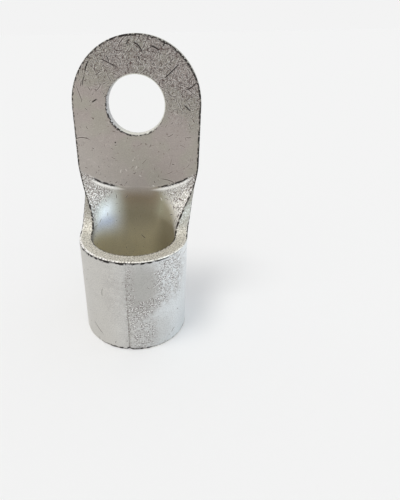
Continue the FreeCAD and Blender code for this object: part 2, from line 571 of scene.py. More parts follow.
def neck():
    """The open part of the sheet in two grids, scoop and coined neck, each with its right cut edge."""
    scoop_shares = crowd(SCOOP_STEPS, SCOOP_CROWDING)
    coined_shares = 1 - crowd(COINED_STEPS, COINED_CROWDING)[::-1]
    crease_travel = travel_at_crease()
    top_travel = SHOULDER_ARC + TAPER_LENGTH - SHOULDER_RADIUS
    scoop_edge = cut_edge(crease_travel * scoop_shares)
    coined_edge = cut_edge(crease_travel + (top_travel - crease_travel) * coined_shares)
    scoop_middle = BARREL_LENGTH + CREASE_ABOVE_RIM * scoop_shares
    coined_middle = scoop_middle[-1] + (TAPER_TOP - scoop_middle[-1]) * coined_shares
    scoop_powers = RIM_POWER + (CREASE_POWER - RIM_POWER) * scoop_shares
    scoop_grid = rows_between(inset(scoop_edge), scoop_middle, scoop_powers)
    coined_grid = rows_between(inset(coined_edge), coined_middle, CREASE_POWER + 0 * coined_shares)
    return scoop_grid, scoop_edge, coined_grid, coined_edge


def barrel(wing, scoop_foot):
    """Grid of the barrel, from the mouth up to its rim on the wings and to the scoop's foot between them."""
    along = np.concatenate([-wing[::-1], scoop_foot[:, 0], wing])
    rim = 0 * wing + BARREL_LENGTH - ROUND
    top = np.concatenate([rim, scoop_foot[:, 1], rim])
    dense_from = 1 - UNDER_RIM / BARREL_LENGTH
    lower = np.linspace(0, dense_from, BARREL_STEPS + 1)
    upper = np.linspace(dense_from, 1, UNDER_RIM_STEPS + 1)[1:]
    heights = ROUND + (top - ROUND) * np.concatenate([lower, upper])[:, None]
    return np.stack([np.broadcast_to(along, heights.shape), heights], -1)


def head_outline(neck_end):
    """Cut edge of the tongue, from the neck's right end up, round the crown and down to the left end."""
    crown_centre = HOLE_CENTRE - [0, CROWN_BELOW_HOLE]
    heights = np.linspace(TAPER_TOP, crown_centre[1], SIDE_STEPS + 1)[1:]
    side_place = np.stack([HEAD_RADIUS + 0 * heights, heights], -1)
    side = side_place, np.broadcast_to([-1.0, 0.0], side_place.shape)
    angle = np.linspace(0, np.pi, CROWN_STEPS + 1)[1:-1]
    ray = np.stack([np.cos(angle), np.sin(angle)], -1)
    crown = crown_centre + HEAD_RADIUS * ray, -ray
    return chained(neck_end, side, crown, mirrored(side), mirrored(neck_end))


def head(head_edge, neck_row):
    """Grid of the tongue along rays from the hole to its border, and the hole's cut edge."""
    border = np.concatenate([inset(head_edge), neck_row[1:]])
    ray_out = (border - HOLE_CENTRE) / np.linalg.norm(border - HOLE_CENTRE, axis=1, keepdims=True)
    hole_edge = HOLE_CENTRE + HOLE_RADIUS * ray_out, ray_out
    reach = np.linspace(0, 1, HEAD_STEPS + 1)[:, None, None]
    return inset(hole_edge) + (border - inset(hole_edge)) * reach, hole_edge


def lug_blank():
    """The whole sheet: barrel, scoop, coined neck and head, and the strips along its three cut edges."""
    scoop_grid, scoop_edge, coined_grid, coined_edge = neck()
    wing = SHOULDER + (HALF_TURN - SHOULDER) * crowd(FRONT_STEPS, FRONT_CROWDING)[1:]
    barrel_grid = barrel(wing, scoop_grid[FIRST])
    head_edge = head_outline(stretch(coined_edge, -1))
    head_grid, hole_edge = head(head_edge, coined_grid[LAST])
    both_ends = [(slice(None), FIRST), (slice(None), LAST)]
    rim = [(LAST, slice(0, len(wing))), (LAST, slice(-len(wing), None))]
    crown = (LAST, slice(0, len(head_edge[0])))

    blank = Blank()
    for side in (FRONT, BACK):
        blank.rolled_face(scoop_grid, side, both_ends)
        blank.rolled_face(coined_grid, side, both_ends)
        blank.rolled_face(barrel_grid, side, [FIRST, *rim])
        blank.rolled_face(head_grid, side, [FIRST, crown])
    blank.cut_face(hole_edge)
    right_edge = chained(level_edge(wing[::-1], BARREL_LENGTH, -1.0), scoop_edge, stretch(coined_edge, 1))
    blank.cut_face(chained(right_edge, stretch(head_edge, 1, -1), mirrored(right_edge)))
    blank.cut_face(level_edge(barrel_grid[FIRST, :, 0], 0, 1.0))
    return blank


def weld(mesh):
    """Joins the patches where they meet, turns all faces outwards and reports on the shell."""
    work = bmesh.new()
    work.from_mesh(mesh)
    bmesh.ops.remove_doubles(work, verts=work.verts, dist=WELD_DISTANCE)
    bmesh.ops.recalc_face_normals(work, faces=work.faces)
    open_edges = sum(1 for edge in work.edges if not edge.is_manifold)
    print("lug_sheet", len(work.verts), "vertices", len(work.faces), "faces", open_edges, "open edges",
          "volume mm3", work.calc_volume() / MM ** 3)
    work.to_mesh(mesh)
    work.free()


def build_lug():
    """Makes the welded mesh object, with the patterns' places as a UV map and the masks as attributes."""
    places, pattern, masks, faces, finishes = lug_blank().mesh_data()
    mesh = bpy.data.meshes.new("lug_sheet")
    mesh.from_pydata(places, [], faces)
    flat = mesh.uv_layers.new(name="sheet")
    corner_vertex = np.empty(len(mesh.loops), np.int32)
    mesh.loops.foreach_get("vertex_index", corner_vertex)
    flat.uv.foreach_set("vector", pattern[corner_vertex].astype(np.float32).ravel())
    for name, values in masks.items():
        mesh.attributes.new(name, "FLOAT", "POINT").data.foreach_set("value", values.astype(np.float32))
    mesh.polygons.foreach_set("material_index", finishes.astype(np.int32))
    weld(mesh)
    mesh.polygons.foreach_set("use_smooth", np.ones(len(mesh.polygons), bool))
    piece = bpy.data.objects.new("lug_sheet", mesh)
    bpy.context.collection.objects.link(piece)
    return piece


class Wiring:
    """Places shader nodes in a tree and joins them up; most methods give back the new node's output."""

    def __init__(self, tree):
        self.tree = tree

    def node(self, kind, inputs, output=0, **settings):
        """One node of a kind, with its settings first and then its inputs, each a value or another output."""
        node = self.tree.nodes.new(kind)
        for name, value in settings.items():
            setattr(node, name, value)
        for name, value in inputs.items():
            if isinstance(value, bpy.types.NodeSocket):
                self.tree.links.new(value, node.inputs[name])
            else:
                node.inputs[name].default_value = value
        return node.outputs[output]

    def link(self, output, socket):
        """Joins an output to a socket that is there already."""
        self.tree.links.new(output, socket)

    def math(self, operation, *values):
        """Math node on one to three values."""
        return self.node("ShaderNodeMath", dict(enumerate(values)), operation=operation)

    def product(self, first, *others):
        """All values multiplied, in their order."""
        for other in others:
            first = self.math("MULTIPLY", first, other)
        return first

    def strongest(self, first, *others):
        """The largest of some values."""
        for other in others:
            first = self.math("MAXIMUM", first, other)
        return first

    def plus(self, base, value, factor):
        """A base plus a value times a factor."""
        return self.math("MULTIPLY_ADD", value, factor, base)

    def total(self, base, *terms):
        """A base plus each term's value times its factor."""
        for value, factor in terms:
            base = self.plus(base, value, factor)
        return base

    def less(self, value, taken):
        """A value less another."""
        return self.math("SUBTRACT", value, taken)

    def size(self, value):
        """A value without its sign."""
        return self.math("ABSOLUTE", value)

    def vector(self, operation, *values, output=0):
        """Vector math node on one or two vectors."""
        return self.node("ShaderNodeVectorMath", dict(enumerate(values)), output, operation=operation)

    def scaled(self, vector, factor):
        """A vector times a number."""
        return self.node("ShaderNodeVectorMath", {"Vector": vector, "Scale": factor}, operation="SCALE")

    def joined(self, x, y, z=0.0):
        """A vector from its parts."""
        return self.node("ShaderNodeCombineXYZ", {"X": x, "Y": y, "Z": z})

    def parts(self, vector):
        """The x, y and z of a vector."""
        x = self.node("ShaderNodeSeparateXYZ", {"Vector": vector})
        return x, x.node.outputs["Y"], x.node.outputs["Z"]

    def ramp(self, value, start, end):
        """0 at start and 1 at end, with a smooth step between."""
        inputs = {"Value": value, "From Min": start, "From Max": end}
        return self.node("ShaderNodeMapRange", inputs, interpolation_type="SMOOTHSTEP")

    def spread(self, value, low, high):
        """Carries 0 to 1 on to low to high."""
        return self.node("ShaderNodeMapRange", {"Value": value, "To Min": low, "To Max": high})

    def blend(self, share, first, second):
        """Colour between two colours by a share."""
        return self.node("ShaderNodeMix", {0: share, 6: first, 7: second}, 2, data_type="RGBA")

    def change(self, value, zone, first, second):
        """Colour that goes over from one to another along a zone of a value."""
        return self.blend(self.ramp(value, *zone), first, second)

    def painted(self, tone, share, strength, colour):
        """A tone with a colour laid over it, as strongly as the share times the strength says."""
        return self.blend(self.product(share, strength), tone, colour)

    def noise(self, vector, scale, detail=2.0, output=0):
        """Noise texture, about 0.5 in its middle."""
        return self.node("ShaderNodeTexNoise", {"Vector": vector, "Scale": scale, "Detail": detail}, output)

    def mask(self, name):
        """A mask that the mesh carries."""
        return self.node("ShaderNodeAttribute", {}, "Fac", attribute_name=name)


def rgb(red, green, blue):
    """Colour with full alpha."""
    return (red, green, blue, 1.0)


def new_group(name, inputs, outputs):
    """Empty shader group with named float or vector inputs and float outputs: its wiring, entry and exit."""
    group = bpy.data.node_groups.new(name, "ShaderNodeTree")
    for label, value in inputs.items():
        kind = "NodeSocketVector" if value is None else "NodeSocketFloat"
        socket = group.interface.new_socket(name=label, in_out="INPUT", socket_type=kind)
        if value is not None:
            socket.default_value = value
    for label in outputs:
        group.interface.new_socket(name=label, in_out="OUTPUT", socket_type="NodeSocketFloat")
    entry = group.nodes.new("NodeGroupInput").outputs
    leave = group.nodes.new("NodeGroupOutput").inputs
    return group, Wiring(group), entry, leave


# A random share times this many radians gives an angle that tells nothing about the share
MANY_TURNS = 40.0

# A layer's salt moves its pattern by itself to the right and by this much of itself upwards
SALT_SLANT = 1.7

CELL_MIDDLE = (0.5, 0.5, 0)


def salted(wiring, place, salt):
    """A pattern's place moved by its layer's salt."""
    return wiring.vector("ADD", place, wiring.joined(salt, wiring.product(salt, SALT_SLANT)))


def scratch_group():
    """Short scratches: one bowed line at a random angle in each square cell of the pattern that has one.

    In a cell the place is moved and turned at random, and the line is where |y - bow x^2| is under its width.
    The burr is the line and what lies beside it, fading out at three times the width.
    """
    inputs = {"Place": None, "Cell": 2.0, "Length": 0.85, "Width": 0.06, "Share": 0.5, "Bow": 0.5, "Salt": 0}
    group, wiring, entry, leave = new_group("scratches", inputs, ["Mask", "Burr"])
    per_mm = wiring.math("DIVIDE", 1.0, entry["Cell"])
    place = salted(wiring, wiring.scaled(entry["Place"], per_mm), entry["Salt"])
    cell = wiring.vector("FLOOR", place)
    chance = wiring.node("ShaderNodeTexWhiteNoise", {"Vector": cell}, "Color")
    presence = chance.node.outputs["Value"]
    _red, green, blue = wiring.parts(chance)
    room = wiring.less(1.0, entry["Length"])
    stray = wiring.scaled(wiring.vector("SUBTRACT", wiring.joined(green, blue), CELL_MIDDLE), room)
    local = wiring.vector("SUBTRACT", wiring.vector("SUBTRACT", place, cell), CELL_MIDDLE)
    local = wiring.vector("SUBTRACT", local, stray)
    angle = wiring.product(green, MANY_TURNS)
    turned = wiring.node("ShaderNodeVectorRotate", {"Vector": local, "Angle": angle}, rotation_type="Z_AXIS")
    x, y, _z = wiring.parts(turned)
    bow = wiring.product(entry["Bow"], wiring.less(green, blue))
    off = wiring.size(wiring.less(y, wiring.product(bow, wiring.product(x, x))))
    width = wiring.product(entry["Width"], per_mm)
    line = wiring.ramp(off, width, wiring.product(width, 0.5))
    beside = wiring.ramp(off, wiring.product(width, 3.0), wiring.product(width, 1.5))
    half = wiring.product(entry["Length"], 0.5)
    ends = wiring.ramp(wiring.size(x), half, wiring.product(half, 0.5))
    there = wiring.math("LESS_THAN", presence, entry["Share"])
    strength = wiring.product(there, ends, wiring.spread(blue, 0.35, 1.0))
    wiring.link(wiring.product(line, strength), leave["Mask"])
    wiring.link(wiring.product(beside, strength), leave["Burr"])
    return group


def scribble_group():
    """Fine curved hairlines: the borders of random cells, bent by a noise and broken by another."""
    inputs = {"Place": None, "Scale": 0.5, "Width": 0.05, "Share": 0.5, "Salt": 0.0}
    group, wiring, entry, leave = new_group("scribbles", inputs, ["Mask"])
    place = salted(wiring, entry["Place"], entry["Salt"])
    stir = wiring.noise(place, wiring.product(entry["Scale"], 1.2), 1.0, "Color")
    bent = wiring.vector("ADD", wiring.scaled(place, entry["Scale"]), stir)
    away = wiring.node("ShaderNodeTexVoronoi", {"Vector": bent, "Scale": 1.0}, "Distance",
                       feature="DISTANCE_TO_EDGE", voronoi_dimensions="2D")
    width = wiring.product(entry["Width"], entry["Scale"])
    line = wiring.ramp(away, width, wiring.product(width, 0.4))
    elsewhere = wiring.vector("ADD", place, (31.0, 57.0, 0.0))
    pieces = wiring.noise(elsewhere, wiring.product(entry["Scale"], 1.4), 1.0)
    gap = wiring.less(1.0, entry["Share"])
    piece = wiring.ramp(pieces, wiring.spread(gap, 0.25, 0.7), wiring.spread(gap, 0.33, 0.78))
    wiring.link(wiring.product(line, piece), leave["Mask"])
    return group


def mark_group():
    """One scratch from a start to an end: where the distance to the bowed line between is under its width.

    t is the share of the way along, and the line bows sideways by 4 t (1 - t) times its bow.
    """
    inputs = {"Place": None, "Start": None, "End": None, "Bow": 0.0, "Width": 0.15}
    group, wiring, entry, leave = new_group("mark", inputs, ["Mask"])
    way = wiring.vector("SUBTRACT", entry["End"], entry["Start"])
    length = wiring.vector("LENGTH", way, output="Value")
    ahead = wiring.vector("NORMALIZE", way)
    off = wiring.vector("SUBTRACT", entry["Place"], entry["Start"])
    share = wiring.math("DIVIDE", wiring.vector("DOT_PRODUCT", off, ahead, output="Value"), length)
    _x, _y, side = wiring.parts(wiring.vector("CROSS_PRODUCT", ahead, off))
    belly = wiring.product(share, wiring.less(1.0, share), 4.0)
    side = wiring.less(side, wiring.product(belly, entry["Bow"]))
    line = wiring.ramp(wiring.size(side), entry["Width"], wiring.product(entry["Width"], 0.3))
    ends = wiring.ramp(wiring.size(wiring.less(share, 0.5)), 0.58, 0.3)
    wiring.link(wiring.product(line, ends), leave["Mask"])
    return group


def mottle_group():
    """Cloudy variation, about -1 to 1, of a broad and a finer noise, for tarnish and uneven plating."""
    group, wiring, entry, leave = new_group("mottle", {"Place": None, "Size": 4.0, "Salt": 0.0}, ["Value"])
    place = wiring.vector("ADD", entry["Place"], wiring.joined(entry["Salt"], entry["Salt"]))
    scale = wiring.math("DIVIDE", 1.0, entry["Size"])
    broad = wiring.noise(place, scale)
    fine = wiring.noise(place, wiring.product(scale, 5.0), 4.0)
    both = wiring.plus(broad, fine, 0.6)
    wiring.link(wiring.plus(-2.4, both, 3.0), leave["Value"])
    return group


groups = {
    "scratches": scratch_group(),
    "scribbles": scribble_group(),
    "mark": mark_group(),
    "mottle": mottle_group(),
}

# Scratches that stand out on the tongue's front: start and end in millimetres across and up, bow and width
TONGUE_MARKS = [
    ((-0.2, 63.7), (1.8, 61.6), 0.4, 0.2),
    ((-7.2, 60.6), (-3.9, 59.0), 0.05, 0.14),
    ((-9.8, 60.3), (-10.8, 58.0), -0.15, 0.18),
    ((9.5, 59.5), (6.3, 56.6), 0.1, 0.17),
    ((13.4, 56.0), (10.9, 54.3), 0.3, 0.16),
    ((-9.8, 51.7), (-8.6, 52.4), 0.05, 0.2),
    ((10.7, 51.2), (12.3, 49.8), 0.0, 0.17),
    ((3.5, 63.0), (5.3, 62.1), 0.1, 0.22),
    ((6.1, 62.8), (6.7, 63.9), 0.0, 0.22),
    ((-1.6, 63.2), (-0.9, 64.3), 0.05, 0.15),
    ((0.9, 61.1), (1.2, 60.2), 0.0, 0.16),
    ((-5.9, 61.2), (-5.5, 60.0), 0.1, 0.13),
    ((-11.0, 57.3), (-11.7, 55.2), -0.1, 0.13),
    ((-5.1, 42.9), (-4.9, 42.6), 0.0, 0.22),
]

# Short bright ticks around the crease, in the same way
LIGHT_MARKS = [
    ((-4.2, 35.4), (-3.9, 36.2), 0.05, 0.13),
    ((-0.4, 36.3), (-0.1, 37.2), 0.05, 0.13),
    ((-1.2, 38.3), (-0.8, 38.8), 0.0, 0.11),
    ((-2.9, 36.4), (-2.6, 35.8), 0.0, 0.11),
    ((0.4, 34.9), (0.9, 34.5), 0.0, 0.12),
    ((3.6, 32.4), (4.1, 32.1), 0.0, 0.16),
    ((5.9, 29.5), (6.4, 28.8), 0.05, 0.15),
]

# Layers of scratches: the size of their cells in millimetres, the lines' length, width and bow, and the salt
SCRATCH_LAYERS = [
    (5.0, 0.85, 0.12, 0.9, 4.0),
    (3.3, 0.8, 0.11, 1.2, 17.0),
    (2.2, 0.8, 0.11, 1.2, 29.0),
    (1.6, 0.8, 0.1, 1.2, 43.0),
    (1.2, 0.8, 0.1, 1.2, 53.0),
    (0.9, 0.8, 0.1, 1.2, 61.0),
]

# Colours of the plating on the sheet's faces, some with painted light and shade in them
LEFT_TIN = rgb(0.615, 0.6, 0.567)
# Painted reflection: tin bluer and lighter on the right, where the cool light shows
COOL_LIT_TIN = rgb(0.7, 0.725, 0.735)
DULL_TIN = rgb(0.465, 0.46, 0.44)
PITTED_TIN = rgb(0.5, 0.455, 0.435)
WARM_BORE = rgb(0.74, 0.68, 0.49)
WARM_NECK = rgb(0.46, 0.485, 0.36)
# Painted shade: the hollow's tarnished brown, darkened where it mirrors dark surroundings
LOW_TARNISH_AND_SHADE = rgb(0.355, 0.31, 0.215)
HIGH_TARNISH_AND_SHADE = rgb(0.295, 0.24, 0.165)
LEFT_FLANK = rgb(0.5, 0.48, 0.44)
# Painted shade low on the left flank
LEFT_FLANK_SHADE = rgb(0.34, 0.335, 0.305)
RIGHT_FLANK = rgb(0.57, 0.55, 0.5)
# Painted highlight low on the right flank
RIGHT_FLANK_HIGHLIGHT = rgb(0.97, 0.95, 0.9)
# Painted reflection: the bluish sheen inside on the left, higher and lower
HIGH_SHEEN = rgb(0.65, 0.675, 0.69)
LOW_SHEEN = rgb(0.78, 0.825, 0.92)
# Painted shade: the coined face's matte greys are darkened, and the pale one is painted light low on the left
PINK_SHADED_MATTE = rgb(0.43, 0.38, 0.35)
OLIVE_SHADED_MATTE = rgb(0.42, 0.39, 0.34)
PALE_LIT_MATTE = rgb(0.48, 0.44, 0.405)

# Colours of marks on the faces, and of painted shade and painted highlight
DARK_SPECK = rgb(0.12, 0.1, 0.09)
BRIGHT_SPECK = rgb(0.95, 0.95, 0.94)
BURR = rgb(0.9, 0.86, 0.81)
HAIRLINE = rgb(0.08, 0.045, 0.04)
SCRATCH = rgb(0.05, 0.03, 0.025)
# Painted highlight on the lip, and the bright ticks
LIP_HIGHLIGHT_AND_TICKS = rgb(0.99, 0.97, 0.93)
# Painted shade in the groove, along corners and in the crease's step; also the dark of deep scratches
SHADE_AND_SCRATCH_DARK = rgb(0.015, 0.01, 0.01)
BRAZE = rgb(0.13, 0.11, 0.09)

# Colours of the sheared edges
DARK_STREAK = rgb(0.56, 0.53, 0.45)
PALE_STREAK = rgb(0.76, 0.735, 0.66)
# Painted highlight on the burnished band at the back
BURNISHED_HIGHLIGHT = rgb(0.97, 0.95, 0.92)
# Painted shade on the hole's left wall
SHADED_LEFT_HOLE_WALL = rgb(0.52, 0.52, 0.53)
HOLE_WALL = rgb(0.78, 0.77, 0.7)
DARK_GRAIN = rgb(0.15, 0.13, 0.11)
BRIGHT_GRAIN = rgb(0.95, 0.93, 0.88)

# Where one colour gives way to the next, from the left to the right
COOL_LIGHT_CHANGE = (-6 * MM, 10 * MM)
PAINTED_LIGHT_ACROSS = (3 * MM, 11 * MM)
FLANK_CHANGE = (-4 * MM, 4 * MM)
BURNISH_CHANGE = (-6 * MM, 6 * MM)
HOLE_WALL_CHANGE = (-6.2 * MM, -2 * MM)

# And up, where the first number is the higher one for what lies low
PAINTED_LIGHT_UP = (12 * MM, 22 * MM)
WARM_CHANGE = (23.5 * MM, 27.5 * MM)
TARNISH_AND_SHADE_CHANGE = (25.5 * MM, 29.5 * MM)
LOW_FLANK = (30.5 * MM, 27.5 * MM)
LOW_INSIDE = (26.5 * MM, 23.5 * MM)
# Painted shade darkens the cut faces above the rim
SHADE_ABOVE_RIM = (24.1 * MM, 25.6 * MM)
SEAM_FADE = (9 * MM, 14 * MM)

# And along a slant, which counts the height plus a part of the distance across
HANDLED_SLANT = 0.4
HANDLED_FROM = (47 * MM, 60 * MM)
MATTE_SLANT = 0.9
LIT_MATTE_FROM = (42 * MM, 26 * MM)

# Cut faces: how far out the hole's wall counts, and which part of the thickness is burnished, in millimetres
HOLE_WALL_REACH = (HOLE_RADIUS + 0.8 * MM, HOLE_RADIUS + 0.5 * MM)
BURNISHED_DEPTH = (2.4, 2.7)


class Finish(Wiring):
    """One of the lug's two materials, with the places and the broken pattern that thins painted shade and
    highlight, which both use.
    """

    def __init__(self, name):
        self.material = bpy.data.materials.new(name)
        self.material.use_nodes = True
        super().__init__(self.material.node_tree)
        self.shader = self.tree.nodes["Principled BSDF"].inputs
        self.place = self.node("ShaderNodeUVMap", {}, uv_map="sheet")
        self.across, _y, self.up = self.parts(self.node("ShaderNodeTexCoord", {}, "Object"))
        self.broken = self.ramp(self.noise(self.place, 1.3, 2.0), 0.43, 0.55)

    def layer(self, group, output, **values):
        """One of the shared groups on the sheet's pattern, with its own values, such as Salt=3.0."""
        return self.node("ShaderNodeGroup", {"Place": self.place, **values}, output, node_tree=groups[group])

    def thinned(self, share, low, high):
        """A share that the broken pattern thins out, to a strength between low and high."""
        return self.product(share, self.spread(self.broken, low, high))

    def bumps(self, height):
        """Normal of a fine unevenness."""
        return self.node("ShaderNodeBump", {"Height": height, "Strength": 0.3, "Distance": 0.05 * MM})


class RolledFinish(Finish):
    """Satin tin plate: grey where pressed, warm inside, tarnished in the scoop, pale outside, with painted
    light and shade over it.
    """

    def __init__(self):
        super().__init__("tin_plate")
        self.coined = self.mask("pressed")
        self.inside = self.mask("inside")
        self.scuffed = self.mask("flank")
        self.sheen = self.mask("sheen")
        self.low_inside = self.ramp(self.up, *LOW_INSIDE)
        self.cloud = self.layer("mottle", "Value", Size=5.0, Salt=3.0)
        self.haze = self.layer("mottle", "Value", Size=2.0, Salt=11.0)
        self.grain = self.noise(self.place, 3.6, 1.0)
        self.find_wear()
        self.find_lines()

    def find_wear(self):
        """Where the tongue's top lies, which gets handling wear and painted shade, where it is pitted, and so
        worn or rugged.
        """
        handled_and_shaded = self.ramp(self.plus(self.up, self.across, HANDLED_SLANT), *HANDLED_FROM)
        self.handled_and_shaded = self.plus(handled_and_shaded, self.product(self.haze, 0.3), handled_and_shaded)
        self.worn = self.strongest(self.handled_and_shaded, self.scuffed)
        patchy = self.ramp(self.noise(self.place, 0.9, 3.0), 0.3, 0.56)
        self.pits = self.math("MINIMUM", self.product(self.mask("pitted"), patchy), 1.0)
        self.rugged = self.strongest(self.product(self.handled_and_shaded, 0.7), self.strongest(self.pits, self.scuffed))

    def find_lines(self):
        """Scratches with their burrs, and dark and bright curved hairlines, denser where it is worn."""
        share = self.total(0.01, (self.coined, 0.03), (self.cloud, 0.03), (self.worn, 0.5))
        lines = []
        for cell, length, width, bow, salt in SCRATCH_LAYERS:
            line = {"Cell": cell, "Length": length, "Width": width, "Share": share, "Bow": bow, "Salt": salt}
            lines.append(self.layer("scratches", "Mask", **line))
        self.dark = self.strongest(*lines)
        self.burr = self.strongest(*(line.node.outputs["Burr"] for line in lines))
        often = self.plus(self.product(self.coined, 0.1), self.worn, 0.4)
        broad_hair = self.layer("scribbles", "Mask", Scale=0.5, Width=0.08, Share=often, Salt=5.0)
        fine_hair = self.layer("scribbles", "Mask", Scale=1.1, Width=0.08, Share=often, Salt=13.0)
        self.hair = self.strongest(broad_hair, fine_hair)
        often = self.total(0.05, (self.handled_and_shaded, 0.2), (self.scuffed, 0.8), (self.coined, 0.25))
        self.bright_hair = self.layer("scribbles", "Mask", Scale=0.8, Width=0.09, Share=often, Salt=37.0)

    def marks(self, marks):
        """Every scratch of a list together, on the sheet's front."""
        together = []
        for start, end, bow, width in marks:
            values = {"Start": (*start, 0), "End": (*end, 0), "Bow": bow, "Width": width}
            together.append(self.layer("mark", "Mask", **values))
        return self.strongest(*together)

    def outside_tone(self):
        """Pale tin outside, painted bluer and lighter to the right as the cool light's reflection, and duller
        beside the seam.
        """
        # Painted reflection of the cool light: bluer and lighter to the right
        tone = self.change(self.across, COOL_LIGHT_CHANGE, LEFT_TIN, COOL_LIT_TIN)
        upper = self.ramp(self.up, *PAINTED_LIGHT_UP)
        upper_right = self.product(upper, self.ramp(self.across, *PAINTED_LIGHT_ACROSS))
        tone = self.scaled(tone, self.spread(upper_right, 1.0, 1.12))
        return self.blend(self.mask("dulled"), tone, DULL_TIN)

    def flank_tone(self):
        """Scuffed tin beside the scoop: painted shade low on the left, and a bright painted highlight low on
        the right.
        """
        low = self.ramp(self.up, *LOW_FLANK)
        left = self.blend(low, LEFT_FLANK, LEFT_FLANK_SHADE)
        right = self.blend(low, RIGHT_FLANK, RIGHT_FLANK_HIGHLIGHT)
        return self.change(self.across, FLANK_CHANGE, left, right)

    def shaded_matte_tone(self):
        """Matte grey of the coined face, darkened as painted shade, between pinkish and olive in patches and
        painted lighter low on the left.
        """
        patches = self.ramp(self.noise(self.place, 0.17, 1.0), 0.4, 0.6)
        low_left = self.ramp(self.plus(self.up, self.across, MATTE_SLANT), *LIT_MATTE_FROM)
        return self.blend(low_left, self.blend(patches, PINK_SHADED_MATTE, OLIVE_SHADED_MATTE), PALE_LIT_MATTE)

    def plain_tone(self):
        """The plating by region, with painted shade, sheen, highlight and reflection in places, before grain,
        marks and the painted shade along lines and corners.
        """
        warm = self.change(self.up, WARM_CHANGE, WARM_BORE, WARM_NECK)
        tone = self.blend(self.inside, self.outside_tone(), warm)
        # Painted shade in the hollow, in a tarnished brown
        tarnish_and_shade = self.change(self.up, TARNISH_AND_SHADE_CHANGE, LOW_TARNISH_AND_SHADE, HIGH_TARNISH_AND_SHADE)
        tone = self.blend(self.mask("scoop"), tone, tarnish_and_shade)
        tone = self.blend(self.scuffed, tone, self.flank_tone())
        # Painted reflection: a bluish sheen on the inside's left
        tone = self.blend(self.sheen, tone, self.blend(self.low_inside, HIGH_SHEEN, LOW_SHEEN))
        tone = self.painted(tone, self.pits, 0.25, PITTED_TIN)
        # Painted shade: the coined face's darker matte grey
        return self.blend(self.coined, tone, self.shaded_matte_tone())

    def grained(self, tone):
        """A tone with the grain's light and shade, painted shade towards the tongue's top, and its dark and
        bright specks where it is rugged.
        """
        swing = self.plus(0.6, self.rugged, 3.6)
        light = self.less(self.grain, 0.5)
        # Painted shade: darker towards the tongue's top
        shade = self.total(1.0, (light, swing), (self.haze, 0.03), (self.cloud, 0.03), (self.handled_and_shaded, -0.3))
        tone = self.scaled(tone, shade)
        push = self.product(self.strongest(self.pits, self.product(self.scuffed, 0.95)), 0.09)
        dark = self.ramp(self.math("ADD", self.grain, push), 0.6, 0.67)
        bright = self.ramp(self.less(self.grain, push), 0.36, 0.3)
        tone = self.painted(tone, dark, self.spread(self.rugged, 0.1, 0.85), DARK_SPECK)
        return self.painted(tone, bright, self.spread(self.rugged, 0.1, 0.9), BRIGHT_SPECK)

    def scratched(self, tone):
        """A tone with burrs, hairlines and scratches over it, and the lip's painted highlight and bright
        ticks over those.
        """
        burrs = self.strongest(self.burr, self.bright_hair)
        tone = self.painted(tone, burrs, self.spread(self.worn, 0.15, 0.45), BURR)
        tone = self.painted(tone, self.hair, 0.9, HAIRLINE)
        tone = self.painted(tone, self.dark, 0.95, SCRATCH)
        # Painted highlight along the lip
        lip_highlight = self.product(self.mask("lip"), self.spread(self.haze, 0.8, 1.0))
        ticks = self.product(self.marks(LIGHT_MARKS), self.product(self.inside, 0.5))
        return self.blend(self.strongest(lip_highlight, ticks), tone, LIP_HIGHLIGHT_AND_TICKS)

    def darkened(self, tone):
        """A tone with painted shade in the rim's groove, along the corners and in the crease's step, dark
        deep scratches, and the seam's line.
        """
        groove = self.thinned(self.mask("groove"), 0.4, 1.0)
        corner = self.thinned(self.math("POWER", self.mask("edge"), 0.6), 0.3, 0.9)
        crevices = self.thinned(self.mask("crevice"), 0.45, 0.8)
        # Painted shade in the rim's groove, along the sharp corners and in the crease's step
        painted_shade = self.ramp(self.strongest(groove, corner, crevices), 0.1, 0.65)
        tone = self.painted(tone, self.strongest(painted_shade, self.marks(TONGUE_MARKS)), 0.97, SHADE_AND_SCRATCH_DARK)
        joint = self.math("POWER", self.mask("seam"), 5.0)
        return self.painted(tone, joint, self.spread(self.ramp(self.up, *SEAM_FADE), 0.6, 0.15), BRAZE)

    def roughness(self):
        """A little rougher inside, where pressed and in scratches, and much rougher low in the sheen."""
        matte = self.strongest(self.coined, self.inside)
        low_sheen = self.product(self.sheen, self.low_inside)
        return self.total(0.48, (matte, 0.1), (self.dark, 0.1), (low_sheen, 0.38))

    def build(self):
        """Joins everything to the shader and gives the material."""
        tone = self.darkened(self.scratched(self.grained(self.plain_tone())))
        metal = self.plus(self.spread(self.inside, 1.0, 0.65), self.sheen, 0.22)
        self.link(metal, self.shader["Metallic"])
        self.link(tone, self.shader["Base Color"])
        self.link(self.roughness(), self.shader["Roughness"])
        self.link(self.bumps(self.noise(self.place, 5.0, 3.0)), self.shader["Normal"])
        return self.material


